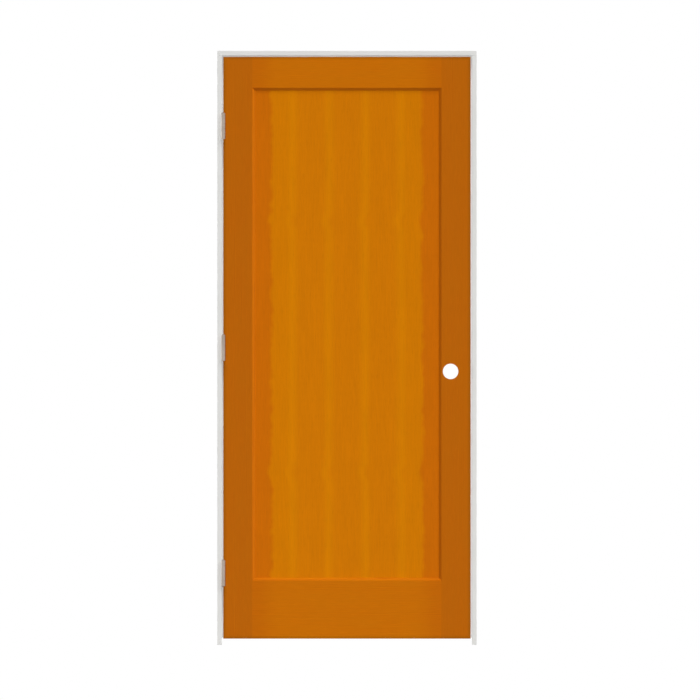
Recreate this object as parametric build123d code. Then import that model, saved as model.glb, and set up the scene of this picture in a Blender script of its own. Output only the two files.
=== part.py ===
"""Left-hand prehung interior door: a flat-panel slab on butt hinges in a flat jamb with stops.

X runs across the doorway from the hinge jamb to the strike jamb, Y runs into the wall from the pull side,
and Z is up. The origin is at the foot of the hinge jamb's back, on the wall's centreline.
All sizes are millimetres.
"""

import math
import os

from build123d import *

INCH = 25.4

# Slab: a 34 by 80 inch door, 1 3/8 inch thick
SLAB_WIDTH = 34 * INCH
SLAB_HEIGHT = 80 * INCH
SLAB_THICKNESS = 1.375 * INCH
STILE_FACE = 4 * INCH
TOP_RAIL_FACE = 4.25 * INCH
BOTTOM_RAIL_FACE = 8 * INCH
STICKING = 0.375 * INCH
PANEL_THICKNESS = 0.5 * INCH
GROOVE_DEPTH = 0.375 * INCH
PANEL_PLAY = 1.5
ARRIS_RADIUS = 1.5
LOCK_EDGE_BEVEL_DEG = 3.0

# Lock preparation: cross bore, edge bore and latch plate mortise
LOCK_BORE_RADIUS = 54.0 / 2
BACKSET = 2.75 * INCH
LOCK_HEIGHT_ON_SLAB = 36.75 * INCH
LATCH_BORE_RADIUS = 0.875 * INCH / 2
LATCH_PLATE_WIDTH = 1.0 * INCH
LATCH_PLATE_HEIGHT = 2.25 * INCH
LATCH_PLATE_DEPTH = 0.125 * INCH
PLATE_CORNER = 0.25 * INCH

# Jamb: flat boards as deep as a stud wall with a lining on both sides
JAMB_THICKNESS = 0.625 * INCH
JAMB_DEPTH = 4.5625 * INCH
JAMB_EDGE_RADIUS = 1.0
HEAD_RABBET = 0.375 * INCH
REVEAL = 5.2
UNDERCUT = 22.0

# Stop: a thin moulding planted on the jamb behind the slab
STOP_THICKNESS = 0.4375 * INCH
STOP_WIDTH = 1.375 * INCH
STOP_GAP = 5.0
STOP_EDGE_RADIUS = 3.0
STOP_ABOVE_FLOOR = 1.0 * INCH

# Strike preparation in the jamb
STRIKE_REACH = 1.25 * INCH
STRIKE_DEPTH = 1.6
STRIKE_HOLE_RADIUS = 0.875 * INCH / 2
STRIKE_HOLE_DEPTH = 0.5 * INCH

# Hinge: a 3 1/2 inch butt with five knuckles and round corners
HINGE_HEIGHT = 3.5 * INCH
LEAF_WIDTH = 1.75 * INCH
LEAF_IN_MORTISE = 1.125 * INCH
LEAF_THICKNESS = 2.3
LEAF_CORNER = 0.625 * INCH
MORTISE_PLAY = 0.2
KNUCKLES = 5
KNUCKLE_GAP = 0.4
BARREL_RADIUS = 7.5
BARREL_CLEARANCE = 0.8
PIN_RADIUS = 3.5
PIN_CLEARANCE = 0.05
TIP_RADIUS = 5.4
TIP_CROWN_RADIUS = 3.6
TIP_HEIGHT = 2.4
TIP_RIM_HEIGHT = 1.0
TIP_STEM = 6.0
TOP_HINGE_BELOW_SLAB_TOP = 9.5 * INCH
BOTTOM_HINGE_ABOVE_SLAB_BOTTOM = 9.0 * INCH

# Places that follow from the driving dimensions
SLAB_LEFT = JAMB_THICKNESS + REVEAL
SLAB_RIGHT = SLAB_LEFT + SLAB_WIDTH
SLAB_BOTTOM = UNDERCUT
SLAB_TOP = SLAB_BOTTOM + SLAB_HEIGHT
FRAME_WIDTH = SLAB_RIGHT + SLAB_LEFT
HEAD_UNDERSIDE = SLAB_TOP + REVEAL
FRAME_HEIGHT = HEAD_UNDERSIDE + JAMB_THICKNESS
FRONT = -JAMB_DEPTH / 2
SLAB_MIDDLE = FRONT + SLAB_THICKNESS / 2
STOP_FRONT = FRONT + SLAB_THICKNESS + STOP_GAP
LOCK_X = SLAB_RIGHT - BACKSET
LOCK_Z = SLAB_BOTTOM + LOCK_HEIGHT_ON_SLAB
PIN_X = JAMB_THICKNESS - LEAF_THICKNESS + BARREL_RADIUS
PIN_Y = FRONT - (LEAF_WIDTH - LEAF_IN_MORTISE)
HINGE_HEIGHTS = {
    "top": SLAB_TOP - TOP_HINGE_BELOW_SLAB_TOP,
    "middle": SLAB_BOTTOM + SLAB_HEIGHT / 2,
    "bottom": SLAB_BOTTOM + BOTTOM_HINGE_ABOVE_SLAB_BOTTOM,
}
CENTRE_LINE = Plane.YZ.offset(FRAME_WIDTH / 2)
BASE = (Align.CENTER, Align.CENTER, Align.MIN)


def sticking_section(face, edge_bevel_deg=0.0):
    """Section of a stile or rail: outer edge at x = 0, sticking and panel groove on the inner edge."""
    half = SLAB_THICKNESS / 2
    inner = face + STICKING
    groove = inner - GROOVE_DEPTH
    back_edge = SLAB_THICKNESS * math.tan(math.radians(edge_bevel_deg))
    outline = Polyline(
        (0, -half),
        (face, -half),
        (inner, STICKING - half),
        (inner, -PANEL_THICKNESS / 2),
        (groove, -PANEL_THICKNESS / 2),
        (groove, PANEL_THICKNESS / 2),
        (inner, PANEL_THICKNESS / 2),
        (inner, half - STICKING),
        (face, half),
        (back_edge, half),
        close=True,
    )
    return make_face(outline)


def stile(edge_bevel_deg=0.0):
    """A full-height stile with its outer edge on x = 0, eased at both arrises."""
    section = sticking_section(STILE_FACE, edge_bevel_deg)
    outer_corners = section.vertices().sort_by(Axis.X)[:2]
    section = fillet(outer_corners, ARRIS_RADIUS)
    return extrude(Pos(0, SLAB_MIDDLE, SLAB_BOTTOM) * section, amount=SLAB_HEIGHT, dir=(0, 0, 1))


def hinge_stile():
    """The stile that carries the hinges, with a shallow mortise for each door leaf."""
    blank = Pos(SLAB_LEFT, 0, 0) * stile()
    for height in HINGE_HEIGHTS.values():
        blank -= leaf_mortise(SLAB_LEFT, 1, height)
    return blank


def lock_stile():
    """The stile on the strike side: bevelled edge, cross bore, latch bore and latch plate mortise."""
    blank = Pos(SLAB_RIGHT, 0, 0) * mirror(stile(LOCK_EDGE_BEVEL_DEG), about=Plane.YZ)
    lock_centre = Pos(LOCK_X, SLAB_MIDDLE, LOCK_Z)
    cross_bore = lock_centre * Rot(X=90) * Cylinder(LOCK_BORE_RADIUS, 2 * SLAB_THICKNESS)
    latch_bore = lock_centre * Rot(Y=90) * Cylinder(LATCH_BORE_RADIUS, BACKSET, align=BASE)
    edge_at_middle = SLAB_RIGHT - SLAB_THICKNESS / 2 * math.tan(math.radians(LOCK_EDGE_BEVEL_DEG))
    edge_face = Pos(edge_at_middle, SLAB_MIDDLE, LOCK_Z) * Rot(Z=LOCK_EDGE_BEVEL_DEG) * Rot(Y=90)
    plate = RectangleRounded(LATCH_PLATE_HEIGHT, LATCH_PLATE_WIDTH, PLATE_CORNER)
    plate_mortise = edge_face * extrude(plate, amount=LATCH_PLATE_DEPTH, both=True)
    return blank - cross_bore - latch_bore - plate_mortise


def rail(face, outer_edge_height, inwards, stiles):
    """A rail between the stiles, coped over their sticking, with stub tenons that fill their grooves."""
    start = SLAB_LEFT + STILE_FACE + STICKING - GROOVE_DEPTH
    length = SLAB_WIDTH - 2 * (start - SLAB_LEFT)
    corner = (start, SLAB_MIDDLE, outer_edge_height)
    end_plane = Plane(origin=corner, x_dir=(0, 0, inwards), z_dir=(1, 0, 0))
    blank = extrude(end_plane * sticking_section(face), amount=length, dir=(1, 0, 0))
    for one in stiles:
        blank -= one
    return blank


def door_panel():
    """The flat panel, held in the grooves with play on all four edges."""
    edge = STICKING - GROOVE_DEPTH + PANEL_PLAY
    low = SLAB_BOTTOM + BOTTOM_RAIL_FACE + edge
    high = SLAB_TOP - TOP_RAIL_FACE - edge
    width = SLAB_WIDTH - 2 * (STILE_FACE + edge)
    place = Pos((SLAB_LEFT + SLAB_RIGHT) / 2, SLAB_MIDDLE, low)
    return place * Box(width, PANEL_THICKNESS, high - low, align=BASE)


def jamb_leg():
    """A side jamb on the hinge side: a flat board with a rabbet at the top for the head jamb's end."""
    section = Rectangle(JAMB_THICKNESS, JAMB_DEPTH, align=(Align.MIN, Align.CENTER))
    section = fillet(section.vertices().group_by(Axis.X)[-1], JAMB_EDGE_RADIUS)
    board = extrude(section, amount=FRAME_HEIGHT)
    rabbet = Box(2 * HEAD_RABBET, 2 * JAMB_DEPTH, JAMB_DEPTH, align=BASE)
    return board - Pos(JAMB_THICKNESS, 0, HEAD_UNDERSIDE) * rabbet


def hinge_jamb():
    """The side jamb that carries the hinges, with a shallow mortise for each jamb leaf."""
    board = jamb_leg()
    for height in HINGE_HEIGHTS.values():
        board -= leaf_mortise(JAMB_THICKNESS, -1, height)
    return board


def strike_jamb():
    """The other side jamb, with a mortise for a lipped strike plate and a blind hole for the latch bolt."""
    board = mirror(jamb_leg(), about=CENTRE_LINE)
    inner_face = FRAME_WIDTH - JAMB_THICKNESS
    into_jamb = Plane(origin=(inner_face, FRONT, LOCK_Z), x_dir=(0, 1, 0), z_dir=(1, 0, 0))
    plate = RectangleRounded(2 * STRIKE_REACH, LATCH_PLATE_HEIGHT, PLATE_CORNER)
    mortise = into_jamb * extrude(plate, amount=STRIKE_DEPTH)
    hole = Cylinder(STRIKE_HOLE_RADIUS, STRIKE_HOLE_DEPTH, align=BASE)
    return board - mortise - into_jamb * Pos(SLAB_THICKNESS / 2, 0) * hole


def head_jamb():
    """The head jamb, flush with the tops of the legs and let into their rabbets."""
    start = JAMB_THICKNESS - HEAD_RABBET
    end_plane = Plane(origin=(start, 0, HEAD_UNDERSIDE), x_dir=(0, 1, 0), z_dir=(1, 0, 0))
    section = Rectangle(JAMB_DEPTH, JAMB_THICKNESS, align=(Align.CENTER, Align.MIN))
    section = fillet(section.vertices().group_by(Axis.Y)[0], JAMB_EDGE_RADIUS)
    return extrude(end_plane * section, amount=FRAME_WIDTH - 2 * start, dir=(1, 0, 0))


def stop_section():
    """Section of the stop moulding: its back lies on y = 0 and its two exposed arrises are rounded."""
    flat = Rectangle(STOP_WIDTH, STOP_THICKNESS, align=(Align.MIN, Align.MIN))
    return fillet(flat.vertices().group_by(Axis.Y)[-1], STOP_EDGE_RADIUS)


def side_stop():
    """The stop on the hinge jamb, from just above the slab's bottom edge to its mitre under the head."""
    foot = Plane(origin=(JAMB_THICKNESS, STOP_FRONT, STOP_ABOVE_FLOOR), x_dir=(0, 1, 0), z_dir=(0, 0, -1))
    strip = extrude(foot * stop_section(), amount=HEAD_UNDERSIDE - STOP_ABOVE_FLOOR, dir=(0, 0, 1))
    return split(strip, bisect_by=head_mitre(), keep=Keep.BOTTOM)


def head_stop():
    """The stop under the head jamb, mitred to the side stops at both ends."""
    corner = (JAMB_THICKNESS, STOP_FRONT, HEAD_UNDERSIDE)
    end_plane = Plane(origin=corner, x_dir=(0, 1, 0), z_dir=(-1, 0, 0))
    strip = extrude(end_plane * stop_section(), amount=FRAME_WIDTH - 2 * JAMB_THICKNESS, dir=(1, 0, 0))
    one_end = split(strip, bisect_by=head_mitre(), keep=Keep.TOP)
    turned = mirror(one_end, about=CENTRE_LINE)
    return split(turned, bisect_by=head_mitre(), keep=Keep.TOP)


def head_mitre():
    """The 45 degree plane on which a side stop meets the head stop, at the hinge side."""
    return Plane(origin=(JAMB_THICKNESS, 0, HEAD_UNDERSIDE), z_dir=(1, 0, 1))


def leaf_outline(play=0.0):
    """A leaf's outline in its own plane: x runs from the pin's axis to the far, round-cornered edge."""
    root = BARREL_RADIUS + BARREL_CLEARANCE
    width = LEAF_WIDTH + play - root
    plate = Pos(root, 0) * Rectangle(width, HINGE_HEIGHT + 2 * play, align=(Align.MIN, Align.CENTER))
    return fillet(plate.vertices().group_by(Axis.X)[-1], LEAF_CORNER)


def leaf_plane(surface_x, side, height):
    """Plane of a leaf's exposed face: x runs from the pin into the wall, z through the leaf's thickness."""
    return Plane(origin=(surface_x, PIN_Y, height), x_dir=(0, 1, 0), z_dir=(side, 0, 0))


def leaf_mortise(surface_x, side, height):
    """The pocket that a leaf is let into, flush with the surface at surface_x."""
    pocket = extrude(leaf_outline(MORTISE_PLAY), amount=LEAF_THICKNESS)
    return leaf_plane(surface_x, side, height) * pocket


def knuckle_span(index):
    """Lowest and highest point of a knuckle, counted from the hinge's middle."""
    pitch = (HINGE_HEIGHT + KNUCKLE_GAP) / KNUCKLES
    low = index * pitch - HINGE_HEIGHT / 2
    return low, low + pitch - KNUCKLE_GAP


def hinge_leaf(surface_x, side, height, knuckles):
    """A leaf with the knuckles rolled from its root and bored for the pin."""
    plane = leaf_plane(surface_x, side, height)
    leaf = plane * extrude(leaf_outline(), amount=LEAF_THICKNESS)
    axis = Pos(PIN_X, PIN_Y, height)
    root_width = BARREL_RADIUS + 2 * BARREL_CLEARANCE
    for index in knuckles:
        low, high = knuckle_span(index)
        ring = Cylinder(BARREL_RADIUS, high - low, align=BASE)
        root = Rectangle(root_width, high - low, align=(Align.MIN, Align.CENTER))
        leaf += axis * Pos(0, 0, low) * ring
        leaf += plane * extrude(Pos(0, (low + high) / 2) * root, amount=LEAF_THICKNESS)
    return leaf - axis * Cylinder(PIN_RADIUS + PIN_CLEARANCE, 2 * HINGE_HEIGHT)


def tip_button():
    """A low button with a straight rim and a tapered crown, its wide face down on z = 0."""
    rim = Cylinder(TIP_RADIUS, TIP_RIM_HEIGHT, align=BASE)
    crown = Cone(TIP_RADIUS, TIP_CROWN_RADIUS, TIP_HEIGHT - TIP_RIM_HEIGHT, align=BASE)
    return rim + Pos(0, 0, TIP_RIM_HEIGHT) * crown


def hinge_pin(height):
    """The loose pin: its button rests on the top knuckle and its shaft ends inside the lowest one."""
    top = HINGE_HEIGHT / 2
    length = HINGE_HEIGHT - 1.5 * TIP_STEM
    shaft = Pos(0, 0, top - length) * Cylinder(PIN_RADIUS, length, align=BASE)
    return Pos(PIN_X, PIN_Y, height) * (shaft + Pos(0, 0, top) * tip_button())


def hinge_tip(height):
    """The plug in the foot of the lowest knuckle, with a button to match the pin's."""
    stem = Cylinder(PIN_RADIUS, TIP_STEM, align=BASE)
    button = mirror(tip_button(), about=Plane.XY)
    return Pos(PIN_X, PIN_Y, height - HINGE_HEIGHT / 2) * (stem + button)


def build_nodes():
    """Every piece of the unit by its node name."""
    stiles = [hinge_stile(), lock_stile()]
    nodes = {
        "hinge_jamb": hinge_jamb(),
        "strike_jamb": strike_jamb(),
        "head_jamb": head_jamb(),
        "hinge_side_stop": side_stop(),
        "strike_side_stop": mirror(side_stop(), about=CENTRE_LINE),
        "head_stop": head_stop(),
        "hinge_stile": stiles[0],
        "lock_stile": stiles[1],
        "top_rail": rail(TOP_RAIL_FACE, SLAB_TOP, -1, stiles),
        "bottom_rail": rail(BOTTOM_RAIL_FACE, SLAB_BOTTOM, 1, stiles),
        "door_panel": door_panel(),
    }
    for name, height in HINGE_HEIGHTS.items():
        nodes[f"{name}_hinge_jamb_leaf"] = hinge_leaf(JAMB_THICKNESS, -1, height, range(0, KNUCKLES, 2))
        nodes[f"{name}_hinge_door_leaf"] = hinge_leaf(SLAB_LEFT, 1, height, range(1, KNUCKLES, 2))
        nodes[f"{name}_hinge_pin"] = hinge_pin(height)
        nodes[f"{name}_hinge_tip"] = hinge_tip(height)
    return nodes


if __name__ == "__main__":
    os.makedirs("parts", exist_ok=True)
    for node, solid in build_nodes().items():
        export_step(solid, f"parts/{node}.step")
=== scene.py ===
import math

import bmesh
import bpy
from mathutils import Matrix, Vector


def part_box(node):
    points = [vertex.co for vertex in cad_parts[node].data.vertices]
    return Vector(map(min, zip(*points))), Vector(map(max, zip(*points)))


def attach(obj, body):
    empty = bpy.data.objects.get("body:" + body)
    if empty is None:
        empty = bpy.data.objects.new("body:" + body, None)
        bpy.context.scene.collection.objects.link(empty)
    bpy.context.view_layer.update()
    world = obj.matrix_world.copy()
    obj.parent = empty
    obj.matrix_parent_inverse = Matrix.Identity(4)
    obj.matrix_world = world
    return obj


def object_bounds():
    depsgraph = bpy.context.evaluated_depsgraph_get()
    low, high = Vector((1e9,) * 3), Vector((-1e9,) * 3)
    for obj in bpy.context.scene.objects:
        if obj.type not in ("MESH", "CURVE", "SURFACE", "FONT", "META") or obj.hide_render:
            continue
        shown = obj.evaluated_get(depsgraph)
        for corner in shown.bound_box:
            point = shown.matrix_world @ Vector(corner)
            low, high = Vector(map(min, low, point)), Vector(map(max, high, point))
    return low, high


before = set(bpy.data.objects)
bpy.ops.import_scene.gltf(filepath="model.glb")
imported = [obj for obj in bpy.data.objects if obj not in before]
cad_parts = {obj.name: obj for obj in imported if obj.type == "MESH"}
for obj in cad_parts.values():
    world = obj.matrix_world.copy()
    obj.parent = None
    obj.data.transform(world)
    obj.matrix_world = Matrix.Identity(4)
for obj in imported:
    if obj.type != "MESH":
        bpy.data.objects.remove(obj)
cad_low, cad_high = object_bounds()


# The jamb: two legs and a head of flat pine boards, primed white at the mill.
# The head's ends sit in rabbets cut in the tops of the legs, glued and stapled from outside.
MM = 0.001
PRIMER_WHITE = "#DCDCDA"
PRIMER_SHADE = "#D7D7D4"
PRIMER_SHADE_AT = 0.35
PRIMER_WHITE_AT = 0.62
PRIMER_CLOUD = 90 * MM
PRIMER_GRAIN = 2.2 * MM
PRIMER_GRAIN_RELIEF = 0.2 * MM
PRIMER_GRAIN_STRENGTH = 0.12
PRIMER_SPRAY = 0.9 * MM
PRIMER_SPRAY_RELIEF = 0.1 * MM
PRIMER_SPRAY_STRENGTH = 0.10
PRIMER_GRAIN_STRETCH = 0.03
PRIMER_ROUGHNESS = (0.5, 0.62)
PRIMER_SPECULAR = 0.15
MEAN_OF_TWO = 0.5

# Nearly all of a noise texture's values lie between these two.
NOISE_SPREAD = {"From Min": 0.3, "From Max": 0.7}


def linear(code):
    """A six-digit sRGB hex colour as linear RGBA."""
    channels = [int(code[i:i + 2], 16) / 255 for i in (1, 3, 5)]
    return (*[c / 12.92 if c <= 0.04045 else ((c + 0.055) / 1.055) ** 2.4 for c in channels], 1.0)


def add(tree, kind, inputs=None, stops=None, **settings):
    """One shader node: settings are its own values, and inputs its sockets' values or what they link to.

    stops, for a colour ramp, are pairs of a place and a hex colour.
    """
    node = tree.nodes.new("ShaderNode" + kind)
    for name, value in settings.items():
        setattr(node, name, value)
    for socket, value in (inputs or {}).items():
        if isinstance(value, bpy.types.NodeSocket):
            tree.links.new(value, node.inputs[socket])
        else:
            node.inputs[socket].default_value = value
    if stops:
        elements = node.color_ramp.elements
        while len(elements) < len(stops):
            elements.new(1.0)
        for element, (place, code) in zip(elements, stops):
            element.position = place
            element.color = linear(code)
    return node


def start_material(name):
    """An empty material: its node tree and its surface shader, already joined to the output."""
    material = bpy.data.materials.new(name)
    material.use_nodes = True
    tree = material.node_tree
    tree.nodes.clear()
    surface = add(tree, "BsdfPrincipled")
    add(tree, "OutputMaterial", {"Surface": surface.outputs["BSDF"]})
    return material, tree, surface


def board_coordinates(tree, along):
    """Object coordinates turned so that the board's length runs along Z."""
    turn = {"X": (0, math.pi / 2, 0), "Z": (0, 0, 0)}[along]
    place = add(tree, "TexCoord").outputs["Object"]
    return add(tree, "Mapping", {"Vector": place, "Rotation": turn}).outputs["Vector"]


def dress(material, *nodes):
    """Puts a material on CAD nodes in place of their plain one."""
    for name in nodes:
        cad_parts[name].data.materials.clear()
        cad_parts[name].data.materials.append(material)


# Sprayed primer is a matt off-white that hides the colour of the wood. The eye sees faint clouds of tone and,
# close to, grain raised along the board under the peel of the spray.
def primed_pine(name, along, shade, white):
    """Primer on pine, for a board whose length runs along the named axis."""
    material, tree, surface = start_material(name)
    board = board_coordinates(tree, along)
    grain_scale = (1, 1, PRIMER_GRAIN_STRETCH)
    grain_place = add(tree, "Mapping", {"Vector": board, "Scale": grain_scale}).outputs["Vector"]
    clouds = add(tree, "TexNoise", {"Vector": board, "Scale": 1 / PRIMER_CLOUD, "Detail": 3.0}).outputs["Fac"]
    grain = add(
        tree, "TexNoise", {"Vector": grain_place, "Scale": 1 / PRIMER_GRAIN, "Detail": 2.0}
    ).outputs["Fac"]
    spray = add(tree, "TexNoise", {"Vector": board, "Scale": 1 / PRIMER_SPRAY, "Detail": 1.0}).outputs["Fac"]
    summed = add(tree, "Math", {0: clouds, 1: grain}, operation="ADD").outputs[0]
    tone = add(tree, "Math", {0: summed, 1: MEAN_OF_TWO}, operation="MULTIPLY").outputs[0]
    colour = add(
        tree, "ValToRGB", {"Fac": tone}, stops=[(PRIMER_SHADE_AT, shade), (PRIMER_WHITE_AT, white)]
    ).outputs["Color"]
    raised = add(
        tree, "Bump", {"Height": grain, "Strength": PRIMER_GRAIN_STRENGTH, "Distance": PRIMER_GRAIN_RELIEF}
    ).outputs["Normal"]
    peel = add(
        tree, "Bump",
        {
            "Height": spray, "Strength": PRIMER_SPRAY_STRENGTH, "Distance": PRIMER_SPRAY_RELIEF,
            "Normal": raised,
        },
    ).outputs["Normal"]
    sheen = add(
        tree, "MapRange",
        {"Value": clouds, **NOISE_SPREAD, "To Min": PRIMER_ROUGHNESS[0], "To Max": PRIMER_ROUGHNESS[1]},
    ).outputs["Result"]
    tree.links.new(colour, surface.inputs["Base Color"])
    tree.links.new(sheen, surface.inputs["Roughness"])
    tree.links.new(peel, surface.inputs["Normal"])
    surface.inputs["Specular IOR Level"].default_value = PRIMER_SPECULAR
    return material


upright_primer = primed_pine("primed_pine_upright", "Z", PRIMER_SHADE, PRIMER_WHITE)
level_primer = primed_pine("primed_pine_level", "X", PRIMER_SHADE, PRIMER_WHITE)
dress(upright_primer, "hinge_jamb", "strike_jamb")
dress(level_primer, "head_jamb")


# The stops: thin primed mouldings with rounded arrises, mitred at the head and pinned to the jamb.
# The slab closes towards them, and only the gap round it shows them from the front.
# Their primer is painted whiter than the boards', as painted light that keeps the shaded gap pale.
STOP_WHITE_PAINTED_LIGHTER = "#F0F0EE"
STOP_TONE_PAINTED_LIGHTER = "#EBEBE9"

upright_stop = primed_pine("moulding_painted_light_upright", "Z", STOP_TONE_PAINTED_LIGHTER, STOP_WHITE_PAINTED_LIGHTER)
level_stop = primed_pine("moulding_painted_light_level", "X", STOP_TONE_PAINTED_LIGHTER, STOP_WHITE_PAINTED_LIGHTER)
dress(upright_stop, "hinge_side_stop", "strike_side_stop")
dress(level_stop, "head_stop")


# The stiles: straight-grained fir, ripped so that the growth rings run as fine lines down the face.
# They are machined with a bevelled sticking and a groove on the inner edge, and run the slab's full height.
STILE_EARLY = "#B76307"
STILE_LATE = "#A95404"
STILE_END = "#7A3D0C"
STILE_PITH = (-0.55, 0.21)
RING_STRETCH = 0.03
RING_UNEVENNESS = 11.0
RING_UNEVEN_SIZE = 20 * MM
RING_WANDER = 7 * MM
WANDER_SIZE = 120 * MM
LATE_WOOD_FROM = 0.25
LATE_WOOD_DEPTH = (0.5, 1.2)
MOTTLE_SIZE = 45 * MM
MOTTLE_STRETCH = 0.35
MOTTLE_TONE = (0.975, 1.025)
# Painted shade along the slab's outer edges, for the shaded gap round it: its width and its tint.
EDGE_SHADE_WIDTH = 14 * MM
EDGE_SHADE_TINT = (0.72, 0.82, 1.3)
SOAKED_TINT = (0.94, 0.87, 1.1)
END_GRAIN_FROM = 0.9
END_GRAIN_FULL = 0.98
END_GRAIN_SHARE = 0.8
LACQUER_ROUGHNESS = (0.42, 0.54)
LACQUER_SPECULAR = 0.10
NOISE_MIDDLE = 0.5

# Blender's wave texture makes this many waves in each unit of length, at a scale of 1.
WAVES_PER_UNIT = 20 / (2 * math.pi)

# Real rings are 1 to 3 mm apart and real fibres under 0.1 mm wide. Both are drawn coarser so that they show.
RING_SPACING = 3.4 * MM
FIBRE_SIZE = 0.7 * MM
FIBRE_STRETCH = 0.02
FIBRE_TONE = (0.93, 1.07)
FIBRE_RELIEF = 0.15 * MM
FIBRE_STRENGTH = 0.15

slab_low = Vector(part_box("hinge_stile")[0])
slab_high = Vector(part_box("lock_stile")[1])
slab_middle = (slab_low + slab_high) / 2
slab_half = (slab_high - slab_low) / 2


# Amber stain under a thin satin lacquer gives the eye one warm brown with faint darker lines of late wood,
# dark end grain and hardly any shine. A darker line of painted shade runs round the slab's outer edge.
def stained_fir(name, along, pith, early, late, end, soaked=None):
    """Stained solid fir with rings around a pith line, given by its place across the board's length.

    soaked, where given, is the pair of distances from the slab's middle between which the stain deepens.
    """
    material, tree, surface = start_material(name)
    board = board_coordinates(tree, along)
    long_place = add(tree, "Mapping", {"Vector": board, "Scale": (1, 1, MOTTLE_STRETCH)}).outputs["Vector"]
    fibre_place = add(tree, "Mapping", {"Vector": board, "Scale": (1, 1, FIBRE_STRETCH)}).outputs["Vector"]
    fibre = add(
        tree, "TexNoise", {"Vector": fibre_place, "Scale": 1 / FIBRE_SIZE, "Detail": 2.0}
    ).outputs["Fac"]
    mottle = add(
        tree, "TexNoise", {"Vector": long_place, "Scale": 1 / MOTTLE_SIZE, "Detail": 3.0}
    ).outputs["Fac"]

    # The growth rings wander a little along the board.
    wander = add(
        tree, "TexNoise", {"Vector": long_place, "Scale": 1 / WANDER_SIZE, "Detail": 2.0}
    ).outputs["Color"]
    sway = add(
        tree, "VectorMath", {0: wander, 1: (NOISE_MIDDLE,) * 3}, operation="SUBTRACT"
    ).outputs["Vector"]
    swayed = add(
        tree, "VectorMath", {0: sway, 1: (RING_WANDER,) * 3, 2: board}, operation="MULTIPLY_ADD"
    ).outputs["Vector"]
    from_pith = add(
        tree, "Mapping",
        {"Vector": swayed, "Location": (-pith[0], -pith[1], 0), "Scale": (1, 1, RING_STRETCH)},
    ).outputs["Vector"]
    wave_size = RING_SPACING * WAVES_PER_UNIT
    rings = add(
        tree, "TexWave",
        {
            "Vector": from_pith, "Scale": 1 / wave_size, "Distortion": RING_UNEVENNESS, "Detail": 2.0,
            "Detail Scale": wave_size / RING_UNEVEN_SIZE,
        },
        wave_type="RINGS", rings_direction="Z", wave_profile="SAW",
    ).outputs["Fac"]
    late_wood = add(tree, "MapRange", {"Value": rings, "From Min": LATE_WOOD_FROM}).outputs["Result"]
    ring_depth = add(
        tree, "MapRange",
        {"Value": mottle, **NOISE_SPREAD, "To Min": LATE_WOOD_DEPTH[0], "To Max": LATE_WOOD_DEPTH[1]},
    ).outputs["Result"]
    late_share = add(tree, "Math", {0: late_wood, 1: ring_depth}, operation="MULTIPLY").outputs[0]
    wood = add(
        tree, "Mix", {"Factor": late_share, "A": linear(early), "B": linear(late)}, data_type="RGBA"
    ).outputs["Result"]

    # Mottle and fibres vary its depth.
    cloud = add(
        tree, "MapRange",
        {"Value": mottle, **NOISE_SPREAD, "To Min": MOTTLE_TONE[0], "To Max": MOTTLE_TONE[1]},
    ).outputs["Result"]
    line = add(
        tree, "MapRange",
        {"Value": fibre, **NOISE_SPREAD, "To Min": FIBRE_TONE[0], "To Max": FIBRE_TONE[1]},
    ).outputs["Result"]
    depth = add(tree, "Math", {0: cloud, 1: line}, operation="MULTIPLY").outputs[0]
    toned = add(tree, "VectorMath", {0: wood, "Scale": depth}, operation="SCALE").outputs["Vector"]

    # Painted shade: the face is darker along the slab's outer edges, in place of the shaded gap round the
    # slab.
    place = add(tree, "TexCoord").outputs["Object"]
    from_centre = add(tree, "VectorMath", {0: place, 1: slab_middle}, operation="SUBTRACT").outputs["Vector"]
    reach = add(tree, "VectorMath", {0: from_centre}, operation="ABSOLUTE").outputs["Vector"]
    margin = add(tree, "VectorMath", {0: slab_half, 1: reach}, operation="SUBTRACT").outputs["Vector"]
    margins = add(tree, "SeparateXYZ", {"Vector": margin}).outputs
    to_edge = add(tree, "Math", {0: margins["X"], 1: margins["Z"]}, operation="MINIMUM").outputs[0]
    edge_shade_share = add(
        tree, "MapRange", {"Value": to_edge, "From Max": EDGE_SHADE_WIDTH, "To Min": 1.0, "To Max": 0.0},
        interpolation_type="SMOOTHSTEP",
    ).outputs["Result"]
    dark = add(tree, "VectorMath", {0: toned, 1: EDGE_SHADE_TINT}, operation="MULTIPLY").outputs["Vector"]
    toned = add(
        tree, "Mix", {"Factor": edge_shade_share, "A": toned, "B": dark}, data_type="RGBA"
    ).outputs["Result"]
    # Where soaked says so, the stain is deeper towards the joints.
    if soaked:
        from_middle = add(tree, "SeparateXYZ", {"Vector": reach}).outputs[along]
        share = add(
            tree, "MapRange", {"Value": from_middle, "From Min": soaked[0], "From Max": soaked[1]},
            interpolation_type="SMOOTHSTEP",
        ).outputs["Result"]
        deep = add(tree, "VectorMath", {0: toned, 1: SOAKED_TINT}, operation="MULTIPLY").outputs["Vector"]
        toned = add(
            tree, "Mix", {"Factor": share, "A": toned, "B": deep}, data_type="RGBA"
        ).outputs["Result"]

    # Sawn ends drink the most.
    facing = add(tree, "TexCoord").outputs["Normal"]
    lengthwise = add(tree, "SeparateXYZ", {"Vector": facing}).outputs[along]
    sawn_end = add(tree, "Math", {0: lengthwise}, operation="ABSOLUTE").outputs[0]
    end_share = add(
        tree, "MapRange",
        {
            "Value": sawn_end, "From Min": END_GRAIN_FROM, "From Max": END_GRAIN_FULL,
            "To Max": END_GRAIN_SHARE,
        },
    ).outputs["Result"]
    colour = add(
        tree, "Mix", {"Factor": end_share, "A": toned, "B": linear(end)}, data_type="RGBA"
    ).outputs["Result"]

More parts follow.
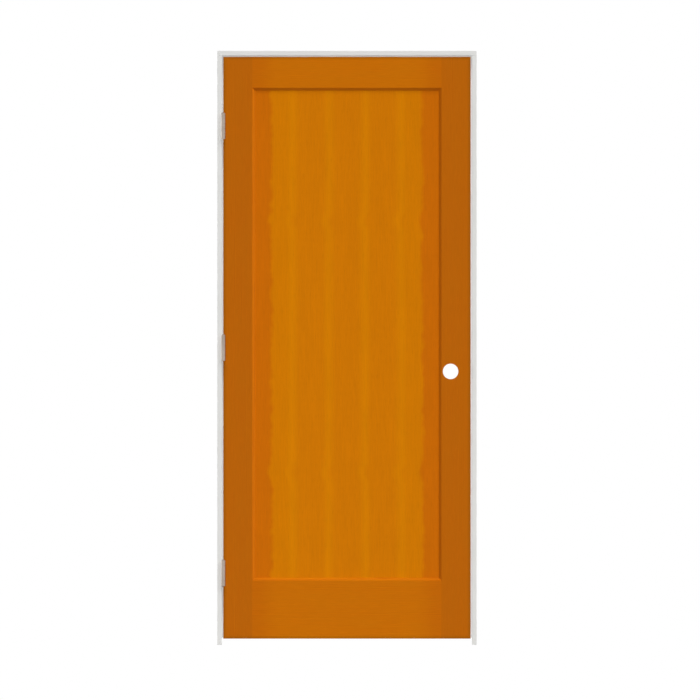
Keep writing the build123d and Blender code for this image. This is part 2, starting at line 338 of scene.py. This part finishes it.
    # The lacquer follows the fibres.
    gloss = add(
        tree, "MapRange",
        {"Value": fibre, **NOISE_SPREAD, "To Min": LACQUER_ROUGHNESS[0], "To Max": LACQUER_ROUGHNESS[1]},
    ).outputs["Result"]
    relief = add(
        tree, "Bump", {"Height": fibre, "Strength": FIBRE_STRENGTH, "Distance": FIBRE_RELIEF}
    ).outputs["Normal"]
    tree.links.new(colour, surface.inputs["Base Color"])
    tree.links.new(gloss, surface.inputs["Roughness"])
    tree.links.new(relief, surface.inputs["Normal"])
    surface.inputs["Specular IOR Level"].default_value = LACQUER_SPECULAR
    return material


stile_fir = stained_fir("stained_fir_stile", "Z", STILE_PITH, STILE_EARLY, STILE_LATE, STILE_END)
dress(stile_fir, "hinge_stile", "lock_stile")


# The rails: the same fir laid across, coped over the stiles' sticking and glued by stub tenons.
# The stain has taken a little brighter here than on the stiles, and deeper towards the joints.
RAIL_EARLY = "#C36D04"
RAIL_LATE = "#B75E02"
RAIL_PITH = (-0.4, 0.27)
SOAK_START = 235 * MM
SOAK_FULL = 320 * MM

soak = (SOAK_START, SOAK_FULL)
rail_fir = stained_fir("stained_fir_rail", "X", RAIL_PITH, RAIL_EARLY, RAIL_LATE, STILE_END, soak)
dress(rail_fir, "top_rail", "bottom_rail")


# The panel: a flat board faced with sliced fir veneer, floating in the grooves of the stiles and rails.
# Its leaves of veneer are matched about the middle, stained and lacquered with the rest of the slab.
VENEER_AMBER = "#C87201"
VENEER_GOLD = "#CD7A00"
VENEER_STRAW = "#C97400"
VENEER_RED = "#C16503"
HALF_FIGURE = 330 * MM

# The bands of the figure, by their distance in millimetres from the panel's middle
FIGURE = [
    (0, VENEER_AMBER), (40, VENEER_AMBER), (65, VENEER_GOLD), (84, VENEER_AMBER), (165, VENEER_AMBER),
    (192, VENEER_GOLD), (208, VENEER_STRAW), (257, VENEER_STRAW), (271, VENEER_RED),
]
BAND_WANDER = 9 * MM
BAND_WANDER_SIZE = 130 * MM
RAGGED_EDGE = 16 * MM
RAGGED_SIZE = 38 * MM
RAGGED_FROM = 215 * MM
RAGGED_TO = 265 * MM
KINK_HEIGHT = 602 * MM
KINK_REPEAT = 878 * MM
KINK_REACH = 40 * MM
KINK_SHIFT = 12 * MM
VENEER_MOTTLE_TONE = (0.98, 1.02)
VENEER_ROUGHNESS = (0.42, 0.52)

# The lines, and the short dark flecks between them, are drawn coarser than real ones so that they show.
VENEER_LINE = 1.6 * MM
VENEER_LINE_TONE = (0.95, 1.05)
VENEER_LINE_RELIEF = 0.1 * MM
VENEER_LINE_STRENGTH = 0.10
FLECK_WIDTH = 0.7 * MM
FLECK_STRETCH = 0.025
FLECK_FROM = 0.56
FLECK_FULL = 0.72
FLECK_TONE = (1.015, 0.88)

# Stained veneer gives the eye soft bands of gold and amber in mirror pairs, kinked at two heights, between
# outer leaves that turn red along a ragged edge.
veneer, tree, surface = start_material("stained_fir_veneer")
place = add(tree, "TexCoord").outputs["Object"]
across = add(tree, "SeparateXYZ", {"Vector": place}).outputs
long_place = add(tree, "Mapping", {"Vector": place, "Scale": (1, 1, MOTTLE_STRETCH)}).outputs["Vector"]
fibre_place = add(tree, "Mapping", {"Vector": place, "Scale": (1, 1, FIBRE_STRETCH)}).outputs["Vector"]
fleck_place = add(tree, "Mapping", {"Vector": place, "Scale": (1, 1, FLECK_STRETCH)}).outputs["Vector"]
wander = add(
    tree, "TexNoise", {"Vector": long_place, "Scale": 1 / BAND_WANDER_SIZE, "Detail": 3.0}
).outputs["Fac"]
ragged = add(tree, "TexNoise", {"Vector": place, "Scale": 1 / RAGGED_SIZE, "Detail": 3.0}).outputs["Fac"]
fibre = add(tree, "TexNoise", {"Vector": fibre_place, "Scale": 1 / VENEER_LINE, "Detail": 3.0}).outputs["Fac"]
mottle = add(tree, "TexNoise", {"Vector": long_place, "Scale": 1 / MOTTLE_SIZE, "Detail": 2.0}).outputs["Fac"]
flecks = add(
    tree, "TexNoise", {"Vector": fleck_place, "Scale": 1 / FLECK_WIDTH, "Detail": 1.0}
).outputs["Fac"]

# Where a point lies in the figure: its distance from the middle, swayed, kinked and ragged.
nearest_height = add(
    tree, "Math",
    {0: across["Z"], 1: KINK_HEIGHT + KINK_REPEAT / 2, 2: KINK_HEIGHT - KINK_REPEAT / 2},
    operation="WRAP",
).outputs[0]
above_kink = add(tree, "Math", {0: nearest_height, 1: KINK_HEIGHT}, operation="SUBTRACT").outputs[0]
from_kink = add(tree, "Math", {0: above_kink}, operation="ABSOLUTE").outputs[0]
kink = add(
    tree, "MapRange", {"Value": from_kink, "From Max": KINK_REACH, "To Min": KINK_SHIFT, "To Max": 0.0},
    interpolation_type="SMOOTHSTEP",
).outputs["Result"]
wandered = add(
    tree, "Math", {0: wander, 1: 2 * BAND_WANDER, 2: across["X"]}, operation="MULTIPLY_ADD"
).outputs[0]
kinked = add(tree, "Math", {0: wandered, 1: kink}, operation="ADD").outputs[0]
centred = add(tree, "Math", {0: kinked, 1: slab_middle.x + BAND_WANDER}, operation="SUBTRACT").outputs[0]
matched = add(tree, "Math", {0: centred}, operation="ABSOLUTE").outputs[0]
raggedness = add(
    tree, "MapRange",
    {"Value": matched, "From Min": RAGGED_FROM, "From Max": RAGGED_TO, "To Max": 2 * RAGGED_EDGE},
).outputs["Result"]
ragged_side = add(tree, "Math", {0: ragged, 1: NOISE_MIDDLE}, operation="SUBTRACT").outputs[0]
figure_place = add(
    tree, "Math", {0: ragged_side, 1: raggedness, 2: matched}, operation="MULTIPLY_ADD"
).outputs[0]
figure_share = add(tree, "Math", {0: figure_place, 1: HALF_FIGURE}, operation="DIVIDE").outputs[0]
figure = add(
    tree, "ValToRGB", {"Fac": figure_share}, stops=[(mm * MM / HALF_FIGURE, code) for mm, code in FIGURE]
).outputs["Color"]

# Lines, mottle and flecks vary its depth.
line = add(
    tree, "MapRange",
    {"Value": fibre, **NOISE_SPREAD, "To Min": VENEER_LINE_TONE[0], "To Max": VENEER_LINE_TONE[1]},
).outputs["Result"]
cloud = add(
    tree, "MapRange",
    {"Value": mottle, **NOISE_SPREAD, "To Min": VENEER_MOTTLE_TONE[0], "To Max": VENEER_MOTTLE_TONE[1]},
).outputs["Result"]
fleck = add(
    tree, "MapRange",
    {
        "Value": flecks, "From Min": FLECK_FROM, "From Max": FLECK_FULL,
        "To Min": FLECK_TONE[0], "To Max": FLECK_TONE[1],
    },
).outputs["Result"]
grained = add(tree, "Math", {0: line, 1: cloud}, operation="MULTIPLY").outputs[0]
depth = add(tree, "Math", {0: grained, 1: fleck}, operation="MULTIPLY").outputs[0]
toned = add(tree, "VectorMath", {0: figure, "Scale": depth}, operation="SCALE").outputs["Vector"]
gloss = add(
    tree, "MapRange",
    {"Value": fibre, **NOISE_SPREAD, "To Min": VENEER_ROUGHNESS[0], "To Max": VENEER_ROUGHNESS[1]},
).outputs["Result"]
relief = add(
    tree, "Bump", {"Height": fibre, "Strength": VENEER_LINE_STRENGTH, "Distance": VENEER_LINE_RELIEF}
).outputs["Normal"]
tree.links.new(toned, surface.inputs["Base Color"])
tree.links.new(gloss, surface.inputs["Roughness"])
tree.links.new(relief, surface.inputs["Normal"])
surface.inputs["Specular IOR Level"].default_value = LACQUER_SPECULAR
dress(veneer, "door_panel")


# The hinges: pressed steel leaves rolled into knuckles around a loose pin, plated in nickel.
# Each leaf is let into a mortise, flush with the jamb or with the slab's edge.
NICKEL_LIGHT = "#B7AAA0"
NICKEL_DARK = "#A79A90"
NICKEL_LIGHT_AT = 0.62
NICKEL_DARK_AT = 0.38
NICKEL_CLOUD = 40 * MM
NICKEL_ROUGHNESS = (0.30, 0.44)
HINGES = ("top", "middle", "bottom")

# Real brush marks are a few hundredths of a millimetre wide, and are drawn coarser so that they show.
BRUSH_WIDTH = 0.45 * MM
BRUSH_STRETCH = 0.03
BRUSH_RELIEF = 0.05 * MM
BRUSH_STRENGTH = 0.12

# Satin nickel is a brushed plate. It gives the eye a warm grey that mirrors only softly, with fine marks that
# run up the leaves.
satin_nickel, tree, surface = start_material("satin_nickel")
place = add(tree, "TexCoord").outputs["Object"]
brush_place = add(tree, "Mapping", {"Vector": place, "Scale": (1, 1, BRUSH_STRETCH)}).outputs["Vector"]
brush = add(tree, "TexNoise", {"Vector": brush_place, "Scale": 1 / BRUSH_WIDTH, "Detail": 2.0}).outputs["Fac"]
clouds = add(tree, "TexNoise", {"Vector": place, "Scale": 1 / NICKEL_CLOUD, "Detail": 2.0}).outputs["Fac"]
summed = add(tree, "Math", {0: brush, 1: clouds}, operation="ADD").outputs[0]
tone = add(tree, "Math", {0: summed, 1: MEAN_OF_TWO}, operation="MULTIPLY").outputs[0]
plating = add(
    tree, "ValToRGB", {"Fac": tone}, stops=[(NICKEL_DARK_AT, NICKEL_DARK), (NICKEL_LIGHT_AT, NICKEL_LIGHT)]
).outputs["Color"]
rub = add(
    tree, "MapRange",
    {"Value": brush, **NOISE_SPREAD, "To Min": NICKEL_ROUGHNESS[0], "To Max": NICKEL_ROUGHNESS[1]},
).outputs["Result"]
scratch = add(
    tree, "Bump", {"Height": brush, "Strength": BRUSH_STRENGTH, "Distance": BRUSH_RELIEF}
).outputs["Normal"]
tree.links.new(plating, surface.inputs["Base Color"])
tree.links.new(rub, surface.inputs["Roughness"])
tree.links.new(scratch, surface.inputs["Normal"])
surface.inputs["Metallic"].default_value = 1.0
for hinge in HINGES:
    dress(satin_nickel, *[f"{hinge}_hinge_{piece}" for piece in ("jamb_leaf", "door_leaf", "pin", "tip")])


# The hinge screws: steel wood screws with a low head and a cross recess, plated to match the leaves.
# Three hold each leaf, driven until the head sits down on it, and they only show while the door stands open.
SCREW_CROWN_RADIUS = 3.9 * MM
SCREW_RIM_RADIUS = 4.4 * MM
SCREW_HEAD_HEIGHT = 0.6 * MM
SCREW_SEAT = 0.05 * MM
SCREW_FACETS = 32
RECESS_WIDTH = 1.3 * MM
RECESS_REACH = 2.4 * MM
RECESS_DEPTH = 0.5 * MM
RECESS_TAPER = 0.75
SCREW_SPREAD = 29.0 * MM
OUTER_SCREW_FROM_EDGE = 9.0 * MM
MIDDLE_SCREW_FROM_EDGE = 19.0 * MM

# No two screws stop at the same turn, in radians.
JAMB_SCREW_TURN = 0.3
DOOR_SCREW_TURN = 0.8
SCREW_TURN_STEP = 0.6


def screw_head():
    """A low head on z = 0, facing up, with a bevelled rim and a tapered cross recess."""
    head = bmesh.new()
    bmesh.ops.create_circle(head, cap_ends=True, radius=SCREW_CROWN_RADIUS, segments=SCREW_FACETS)
    bmesh.ops.translate(head, verts=head.verts[:], vec=(0, 0, SCREW_HEAD_HEIGHT))
    for axis in (Vector((1, 0, 0)), Vector((0, 1, 0))):
        for reach in (-RECESS_REACH, -RECESS_WIDTH / 2, RECESS_WIDTH / 2, RECESS_REACH):
            everything = head.verts[:] + head.edges[:] + head.faces[:]
            bmesh.ops.bisect_plane(head, geom=everything, plane_co=axis * reach, plane_no=axis)
    cross = []
    for face in head.faces:
        x, y = [abs(value) for value in face.calc_center_median()[:2]]
        if min(x, y) < RECESS_WIDTH / 2 and max(x, y) < RECESS_REACH:
            cross.append(face)
    rim = [edge for edge in head.edges if edge.is_boundary]
    sunk = bmesh.ops.extrude_face_region(head, geom=cross)
    bmesh.ops.delete(head, geom=cross, context="FACES")
    sunk_verts = [item for item in sunk["geom"] if isinstance(item, bmesh.types.BMVert)]
    bmesh.ops.translate(head, verts=sunk_verts, vec=(0, 0, -RECESS_DEPTH))
    bmesh.ops.scale(head, verts=sunk_verts, vec=(RECESS_TAPER, RECESS_TAPER, 1))
    skirt = bmesh.ops.extrude_edge_only(head, edges=rim)
    skirt_verts = [item for item in skirt["geom"] if isinstance(item, bmesh.types.BMVert)]
    widening = SCREW_RIM_RADIUS / SCREW_CROWN_RADIUS
    bmesh.ops.translate(head, verts=skirt_verts, vec=(0, 0, -SCREW_HEAD_HEIGHT - SCREW_SEAT))
    bmesh.ops.scale(head, verts=skirt_verts, vec=(widening, widening, 1))
    foot = [item for item in skirt["geom"] if isinstance(item, bmesh.types.BMEdge) and item.is_boundary]
    bmesh.ops.contextual_create(head, geom=foot)
    bmesh.ops.recalc_face_normals(head, faces=head.faces[:])
    return head


def screw_set(name, surface_x, facing, leaf_edge, height, body, turn):
    """The screws of one leaf as a single piece: an outer pair and one nearer the barrel."""
    pattern = [
        (leaf_edge - OUTER_SCREW_FROM_EDGE, height + SCREW_SPREAD),
        (leaf_edge - MIDDLE_SCREW_FROM_EDGE, height),
        (leaf_edge - OUTER_SCREW_FROM_EDGE, height - SCREW_SPREAD),
    ]
    screws = bmesh.new()
    for number, (y, z) in enumerate(pattern):
        head = screw_head()
        seat = Matrix.Translation((surface_x, y, z))
        lay = Matrix.Rotation(facing * math.pi / 2, 4, "Y")
        drive = Matrix.Rotation(turn + number * SCREW_TURN_STEP, 4, "Z")
        bmesh.ops.transform(head, matrix=seat @ lay @ drive, verts=head.verts[:])
        part = bpy.data.meshes.new("screw")
        head.to_mesh(part)
        screws.from_mesh(part)
        head.free()
        bpy.data.meshes.remove(part)
    mesh = bpy.data.meshes.new(name)
    screws.to_mesh(mesh)
    screws.free()
    mesh.materials.append(satin_nickel)
    piece = bpy.data.objects.new(name, mesh)
    bpy.context.scene.collection.objects.link(piece)
    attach(piece, body)


jamb_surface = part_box("hinge_jamb")[1][0]
slab_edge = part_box("hinge_stile")[0][0]
for number, hinge in enumerate(HINGES):
    leaf_low, leaf_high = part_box(f"{hinge}_hinge_jamb_leaf")
    leaf_edge = leaf_high[1]
    middle = (leaf_low[2] + leaf_high[2]) / 2
    jamb_turn = JAMB_SCREW_TURN + number
    door_turn = DOOR_SCREW_TURN + number
    screw_set(f"{hinge}_hinge_jamb_screws", jamb_surface, 1, leaf_edge, middle, "frame", jamb_turn)
    screw_set(f"{hinge}_hinge_door_screws", slab_edge, -1, leaf_edge, middle, "door", door_turn)


# The studio: a pale floor under the legs, a white surround and plain light from distant lamps.
# The front lamp and the strip of lamps above it reach into the gap round the slab. The key and two rakes,
# from the upper right, the right and above, shape the sticking. The side and back lamps show the other sides.
FLOOR_REACH = 8.0
FLOOR_DROP = 0.4 * MM
FLOOR_WHITE = "#FDFDFC"
FLOOR_GREY = "#747472"
FLOOR_ROUGHNESS = 0.9
FLOOR_GLOW = 0.55
SURROUND_LIGHT = 0.06
FRONT_LIGHT = 0.50
KEY_LIGHT = 0.27
STRIP_LIGHT = 0.078
STRIP_LOWEST = 47
STRIP_HIGHEST = 67
STRIP_STEP = 5
RIGHT_RAKE_LIGHT = 0.66
TOP_RAKE_LIGHT = 0.30
SIDE_LIGHT = 0.40
BACK_LIGHT = 0.42

floor_shape = bmesh.new()
bmesh.ops.create_grid(floor_shape, x_segments=1, y_segments=1, size=FLOOR_REACH)
bmesh.ops.translate(floor_shape, verts=floor_shape.verts[:], vec=(0, 0, -FLOOR_DROP))
floor_mesh = bpy.data.meshes.new("floor")
floor_shape.to_mesh(floor_mesh)
floor_shape.free()
floor = bpy.data.objects.new("floor", floor_mesh)
bpy.context.scene.collection.objects.link(floor)

# Matt studio paint: the eye and the metal see it white, with the object's shadow, and the object gets only
# the light that a grey floor sends back.
floor_paint, tree, surface = start_material("matt_studio_paint")
surface.inputs["Roughness"].default_value = FLOOR_ROUGHNESS
surface.inputs["Specular IOR Level"].default_value = 0.0
rays = add(tree, "LightPath").outputs
seen = add(tree, "Math", {0: rays["Is Camera Ray"], 1: rays["Is Glossy Ray"]}, operation="MAXIMUM").outputs[0]
seen = add(tree, "Math", {0: seen, 1: rays["Is Transmission Ray"]}, operation="MAXIMUM").outputs[0]
shown = add(
    tree, "Mix", {"Factor": seen, "A": linear(FLOOR_GREY), "B": linear(FLOOR_WHITE)}, data_type="RGBA"
).outputs["Result"]
tree.links.new(shown, surface.inputs["Base Color"])
glow = add(tree, "Emission", {"Color": (1, 1, 1, 1), "Strength": 1.0}).outputs["Emission"]
glow_share = add(tree, "Math", {0: seen, 1: FLOOR_GLOW}, operation="MULTIPLY").outputs[0]
lit = add(tree, "MixShader", {0: glow_share, 1: surface.outputs["BSDF"], 2: glow}).outputs["Shader"]
tree.links.new(lit, tree.nodes["Material Output"].inputs["Surface"])
floor_mesh.materials.append(floor_paint)

world = bpy.data.worlds.new("white_surround")
world.use_nodes = True
tree = world.node_tree
tree.nodes.clear()
rays = add(tree, "LightPath").outputs
seen = add(tree, "Math", {0: rays["Is Camera Ray"], 1: rays["Is Glossy Ray"]}, operation="MAXIMUM").outputs[0]
seen = add(tree, "Math", {0: seen, 1: rays["Is Transmission Ray"]}, operation="MAXIMUM").outputs[0]
strength = add(tree, "MapRange", {"Value": seen, "To Min": SURROUND_LIGHT}).outputs["Result"]
background = add(tree, "Background", {"Color": (1, 1, 1, 1), "Strength": strength}).outputs["Background"]
add(tree, "OutputWorld", {"Surface": background})
bpy.context.scene.world = world


def lamp(name, towards, level, spread, mirrored=True):
    """A distant lamp: towards points from the object to it, and spread is its width in degrees.

    A level of 1 shows a surface that faces the lamp as its colour is written. Where mirrored is false, metal
    doesn't reflect the lamp.
    """
    data = bpy.data.lights.new(name, "SUN")
    data.energy = level * math.pi
    data.angle = math.radians(spread)
    item = bpy.data.objects.new(name, data)
    item.rotation_mode = "QUATERNION"
    item.rotation_quaternion = Vector(towards).to_track_quat("Z", "Y")
    item.visible_glossy = mirrored
    bpy.context.scene.collection.objects.link(item)


# The front lamp stands a hair above level, so that the floor doesn't cut it off from the jamb's feet.
lamp("front_lamp", towards=(0.0, -1.0, 0.003), level=FRONT_LIGHT, spread=0.3, mirrored=False)
lamp("key_lamp", towards=(0.42, -0.57, 0.65), level=KEY_LIGHT, spread=45)
for degrees in range(STRIP_LOWEST, STRIP_HIGHEST + 1, STRIP_STEP):
    tilt = math.radians(degrees)
    above_front = (0.0, -math.cos(tilt), math.sin(tilt))
    lamp("strip_lamp", towards=above_front, level=STRIP_LIGHT, spread=5, mirrored=False)
lamp("right_rake_lamp", towards=(1.0, -0.022, 0.02), level=RIGHT_RAKE_LIGHT, spread=2, mirrored=False)
lamp("top_rake_lamp", towards=(0.0, -0.03, 1.0), level=TOP_RAKE_LIGHT, spread=6, mirrored=False)
lamp("side_lamp", towards=(-0.93, 0.28, 0.12), level=SIDE_LIGHT, spread=20, mirrored=False)
lamp("back_left_lamp", towards=(-0.6, 0.75, 0.15), level=BACK_LIGHT, spread=40)
lamp("back_right_lamp", towards=(0.12, 0.95, 0.12), level=BACK_LIGHT, spread=40)
bpy.context.scene.view_settings.view_transform = "Standard"


# The camera: straight on, from the pull side, with no perspective, as the photograph shows the unit.
# One pixel of the photograph's 700 is about 3.5 mm on the door.
FRAME_PIXELS = 700
PIXEL = 3.4927 * MM
PHOTO_CENTRE = (346.95, 347.9)
CAMERA_DISTANCE = 6.0

camera_data = bpy.data.cameras.new("photo_camera")
camera_data.type = "ORTHO"
camera_data.ortho_scale = FRAME_PIXELS * PIXEL
camera = bpy.data.objects.new("photo_camera", camera_data)
middle = (cad_low + cad_high) / 2
camera.location = (
    middle[0] + (FRAME_PIXELS / 2 - PHOTO_CENTRE[0]) * PIXEL,
    -CAMERA_DISTANCE,
    middle[2] - (FRAME_PIXELS / 2 - PHOTO_CENTRE[1]) * PIXEL,
)
camera.rotation_euler = (math.pi / 2, 0, 0)
bpy.context.scene.collection.objects.link(camera)
bpy.context.scene.camera = camera
